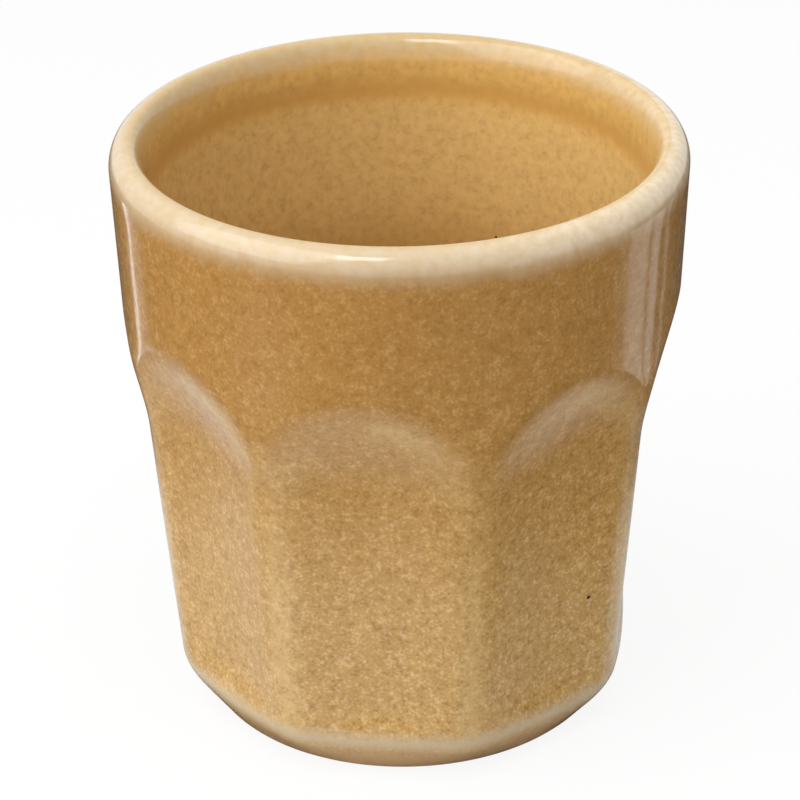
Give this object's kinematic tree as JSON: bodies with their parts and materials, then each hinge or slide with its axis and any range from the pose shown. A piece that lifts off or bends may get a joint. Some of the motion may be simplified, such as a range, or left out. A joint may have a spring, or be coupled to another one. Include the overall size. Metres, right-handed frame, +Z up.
{
  "type": "espresso cup",
  "caption": "Handleless tapered stoneware cup with a rounded lip, arch-topped scooped facets round its lower part and a speckled honey glaze, for serving espresso.",
  "frame": {"origin": "middle of the foot ring, on the table", "axes": "+Z up along the axis of the cup, -Y out through the middle of one facet"},
  "size_m": [0.061, 0.061, 0.065],
  "materials": {
    "bare_stoneware": "fired clay, unglazed, matt",
    "outer_glaze": "speckled honey glaze, glossy, paler where it thins over edges",
    "lining_glaze": "speckled honey glaze, glossy, paler at the lip",
    "base_glaze": "speckled honey glaze, glossy"
  },
  "bodies": {
    "root": {"stoneware_body": "bare_stoneware", "outer_glaze": "outer_glaze", "lining_glaze": "lining_glaze", "base_glaze": "base_glaze"}
  },
  "joints": []
}
